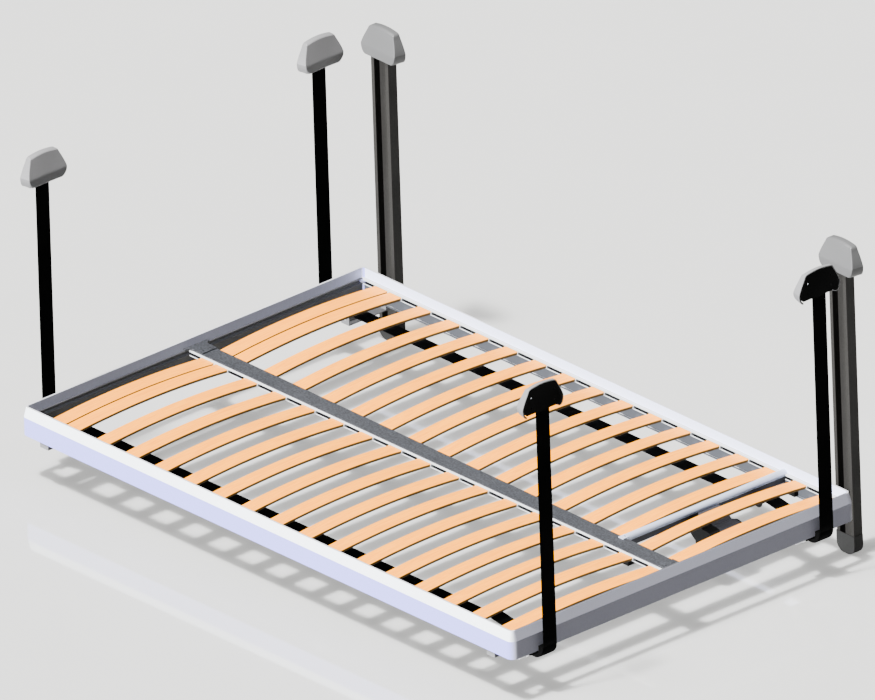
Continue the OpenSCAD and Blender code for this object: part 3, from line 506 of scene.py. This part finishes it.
def slat_section():
    """Points (x, z) round the section of a slat."""
    w, t, c = SLAT_W, SLAT_T, SLAT_EDGE
    d = c * EDGE_CUT
    return [(c, 0), (w - c, 0), (w - d, d), (w, c), (w, t - c), (w - d, t - d),
            (w - c, t), (c, t), (d, t - d), (0, t - c), (0, c), (d, d)]


for row, shift in (("front", 0.0), ("rear", REAR_SHIFT)):
    boards = [[[at(x + dx, y + shift, SLOT_LO + dz + slat_rise(y)) for dx, dz in slat_section()]
               for y in reversed(SLAT_YS)] for x in SLAT_STARTS]
    slats = tube_piece("wood_slats_%s" % row, boards, SLAT, "bed", smooth=False)
    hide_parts("slats_%s" % row)
    # The wood throws no orange light on the frame, as in the photograph.
    slats.visible_diffuse = False
    slats.visible_glossy = False

# Covers: one outline seen from the front, a face that leans back, an open underside.
COVER_LO, COVER_LEAN, COVER_MID, COVER_TOP = 697.0, 724.0, 735.0, 784.0
FLAT_U = 50.0
SIDE_AT, SHOULDER_AT = (67.4, 726), (51.5, 769)
SHOULDER_U, SHOULDER_Z = 43.0, 779.2
CREASE_DROP = 3.0
FACE_LEAN, TOP_LEAN = 15.0, 21.0
COVER_D, COVER_ROUND = 31.0, 8.0
CAP_D, CAP_ROUND = 36.0, 3.0
COVER_T = 2.5
EDGE_R = 2.2
ROUND_Z, ROUND_SPAN = 718, 20
FLARE, FLARE_Z, FLARE_SPAN = 0.115, 774, 77
# Half sizes of the outline, by which an inset narrows it: across, upright and overall.
HALF_U, HALF_Z, HALF_MEAN = 66, 42, 52
FACE_X = -23.0
GUIDE_X = 66.0
LIP = 2.5
LIP_POINTS = 10
BEND_STEPS = 6
FACE_SCALES = (0.96, 0.92, 0.88, 0.84, 0.80, 0.76, 0.72, 0.6, 0.45, 0.3, 0.15, 0.03)
INNER_SCALES = (0.03, 0.3, 0.6, 0.8, 0.9)
SHARP_DEG = 17


def bezier(a, b, c, n):
    """Points of a curve from a to c that leans towards b, without its last point."""
    out = []
    for k in range(n):
        t = k / n
        out.append(tuple((1 - t) ** 2 * a[i] + 2 * t * (1 - t) * b[i] + t * t * c[i]
                         for i in (0, 1)))
    return out


def cover_outline():
    """One turn round the outline as (across, height, is_lip), from the lower edge's middle."""
    half = [(FLAT_U * k / LIP_POINTS, COVER_LO) for k in range(LIP_POINTS)]
    half += bezier((FLAT_U, COVER_LO), (65, COVER_LO + 1), SIDE_AT, 10)
    half += bezier(SIDE_AT, (65, 741), SHOULDER_AT, 9)
    half += bezier(SHOULDER_AT, (49.5, 777.5), (SHOULDER_U, SHOULDER_Z), 6)
    half += bezier((SHOULDER_U, SHOULDER_Z), (21, COVER_TOP), (0, COVER_TOP), 10)
    ring = [(u, z, k <= LIP_POINTS) for k, (u, z) in enumerate(half)]
    return ring + [(0.0, COVER_TOP, False)] + [(-u, z, lip) for u, z, lip in ring[:0:-1]]


def cover_face(d, u, z):
    """Distance of the face from the wall; its crease runs along the arched upper edge."""
    if z <= COVER_LEAN:
        return d
    arch = max(0.0, 1 - (u / SHOULDER_U) ** 2)
    top = SHOULDER_Z + (COVER_TOP - SHOULDER_Z) * arch
    crease = top - CREASE_DROP
    if z <= crease:
        return d - FACE_LEAN * (z - COVER_LEAN) / (crease - COVER_LEAN)
    share = min(1.0, (z - crease) / CREASE_DROP)
    return d - FACE_LEAN - (TOP_LEAN - FACE_LEAN) * share


def cover_shell(d, low_round, place):
    """Outer and inner rings of a shell; place turns (across, height, depth) into a point."""
    outline = cover_outline()

    def edge_round(z):
        """Radius of the rounding between face and side, wider towards the lower edge."""
        share = max(0.0, min(1.0, (ROUND_Z - z) / ROUND_SPAN))
        return EDGE_R + (low_round - EDGE_R) * share * share * (3 - 2 * share)

    def wall_ring(inset):
        """The edge at the wall, which spreads downwards; its lip stays off the wall."""
        points = []
        for u, z, lip in outline:
            wide = 1 + FLARE * max(0.0, (FLARE_Z - z) / FLARE_SPAN)
            depth = cover_face(d, u, z) - edge_round(z) - LIP if lip else 0.0
            points.append(place(u * wide * (1 - inset / HALF_U),
                                COVER_MID + (z - COVER_MID) * (1 - inset / HALF_Z), depth))
        return points

    def ring(scale, turn, inset):
        """A ring of the rounding, turned from side to face, or of the face at a scale."""
        points = []
        for u, z, _ in outline:
            r = edge_round(z)
            length = math.hypot(u, z - COVER_MID)
            k = (1 - inset / HALF_MEAN - r * (1 - math.cos(turn)) / length) * scale
            uu, zz = u * k, COVER_MID + (z - COVER_MID) * k
            sink = r * (1 - math.sin(turn)) * (1 if scale == 1 else 0)
            points.append(place(uu, zz, cover_face(d, uu, zz) - sink - inset))
        return points

    quarter = math.pi / 2
    outer = [wall_ring(COVER_T), wall_ring(0)]
    outer += [ring(1, quarter * k / BEND_STEPS, 0) for k in range(BEND_STEPS + 1)]
    outer += [ring(scale, quarter, 0) for scale in FACE_SCALES]
    inner = [ring(scale, quarter, COVER_T) for scale in INNER_SCALES]
    inner += [ring(1, quarter * k / 2, COVER_T) for k in (2, 1, 0)]
    return outer, inner


def cover_piece(name, body, nodes, parts, skin):
    """parts holds (depth, low_round, place) of each cover in the piece."""
    me = bpy.data.meshes.new(name)
    bm = bmesh.new()

    def close(chain, end, material_index):
        """Faces between the rings of a chain, and one face on the ring at its end."""
        n = len(end)
        for a, b in zip(chain, chain[1:]):
            for i in range(n):
                j = (i + 1) % n
                bm.faces.new((a[i], a[j], b[j], b[i])).material_index = material_index
        bm.faces.new(end).material_index = material_index

    for part in parts:
        outer, inner = [[[bm.verts.new(q) for q in ring] for ring in rings]
                        for rings in cover_shell(*part)]
        close(outer, outer[-1], 0)
        # The inner rings take the second surface, black: painted shade inside the open shell.
        close(inner + [outer[0]], inner[0][::-1], 1)
    bmesh.ops.recalc_face_normals(bm, faces=bm.faces[:])
    bm.to_mesh(me)
    bm.free()
    for p in me.polygons:
        p.use_smooth = True
    me.set_sharp_from_angle(angle=math.radians(SHARP_DEG))
    # The second surface, black plastic on the shell's inside, is painted shade.
    me.materials.append(skin)
    me.materials.append(BLACK)
    obj = mesh_object(name, me, body)
    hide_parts(*nodes)


def end_place(y, flip):
    """Cover on the wall at a bed end, round the strap at y."""
    def put(u, z, depth):
        x = FACE_X + depth
        return at(BED_L - x if flip else x, y + u, z)
    return put


def wall_place(x):
    """Cap on the long wall, round the guide at x."""
    return lambda u, z, depth: at(x + u, WALL_Y - depth, z)


for row, y in BED_ROWS:
    for end, flip in BED_ENDS:
        cover_piece("shell_cover_%s_%s" % (row, end), "wall_set", ["cover_%s_%s" % (row, end)],
                    [(COVER_D, COVER_ROUND, end_place(y, flip))], COVER)
cover_piece("shell_guide_caps", "wall_set", ["guide_caps"],
            [(CAP_D, CAP_ROUND, wall_place(x)) for x in (GUIDE_X, BED_L - GUIDE_X)], CAP)


# Light, floor and camera.
def sun(name, travel, strength, soft_deg, shadow, colour=(1, 1, 1)):
    """A distant lamp whose light travels along the given direction."""
    data = bpy.data.lights.new(name, "SUN")
    data.energy = strength
    data.angle = math.radians(soft_deg)
    data.use_shadow = shadow
    data.color = colour
    obj = into_scene(name, data)
    obj.rotation_mode = "QUATERNION"
    obj.rotation_quaternion = Vector(travel).to_track_quat("-Z", "Y")


OVERHEAD, DOWN, TO_WALL = (0.06, 0.32, -1), (0, 0, -1), (0.1, 1, 0)
sun("overhead", OVERHEAD, strength=8.0, soft_deg=5, shadow=True)
sun("overhead_wide", OVERHEAD, strength=5.0, soft_deg=20, shadow=True)
sun("top_fill", DOWN, strength=3.0, soft_deg=20, shadow=False)
sun("front_fill", TO_WALL, strength=12.0, soft_deg=20, shadow=False, colour=(0.97, 0.98, 1.0))

world = bpy.data.worlds.new("studio")
bpy.context.scene.world = world
world.use_nodes = True
sky = world.node_tree.nodes["Background"]
sky.inputs["Color"].default_value = (0.90, 0.90, 0.88, 1)
sky.inputs["Strength"].default_value = 0.19

FLOOR_HALF = 14.0
floor_mesh = bpy.data.meshes.new("floor")
floor_mesh.from_pydata([(FLOOR_HALF * i, FLOOR_HALF * j, 0)
                        for i, j in ((-1, -1), (1, -1), (1, 1), (-1, 1))], [], [(0, 1, 2, 3)])
floor = into_scene("floor", floor_mesh)
floor_mesh.materials.append(material("floor_finish", (0.505, 0.503, 0.49), rough=0.06, scale=3,
                                     vary=0.01, rough_vary=0.01, edge=0.0, gloss=0.8))
# The floor throws no light back, so the shaded sides stay as dark as in the photograph.
floor.visible_diffuse = False

# The photograph is a parallel view; the frame's axes give its direction and roll. AIM is in
# the middle of the picture.
VIEW_TURN, VIEW_RISE, VIEW_ROLL = (math.radians(deg) for deg in (49.2, 25.8, 1.88))
VIEW_WIDTH = 2.3075
VIEW_BACK, VIEW_END = 12, 60
AIM = at(527.2, 1003.4, 81)
back = Vector((math.sin(VIEW_TURN) * math.cos(VIEW_RISE),
               -math.cos(VIEW_TURN) * math.cos(VIEW_RISE), math.sin(VIEW_RISE)))
level = Vector((math.cos(VIEW_TURN), math.sin(VIEW_TURN), 0))
steep = back.cross(level)
right = level * math.cos(VIEW_ROLL) - steep * math.sin(VIEW_ROLL)
up = steep * math.cos(VIEW_ROLL) + level * math.sin(VIEW_ROLL)
cam_data = bpy.data.cameras.new("camera")
cam_data.type = "ORTHO"
cam_data.ortho_scale = VIEW_WIDTH
cam_data.clip_end = VIEW_END
cam = into_scene("camera", cam_data)
cam.matrix_world = Matrix([(right[i], up[i], back[i], AIM[i] + back[i] * VIEW_BACK)
                           for i in range(3)] + [(0, 0, 0, 1)])
bpy.context.scene.camera = cam
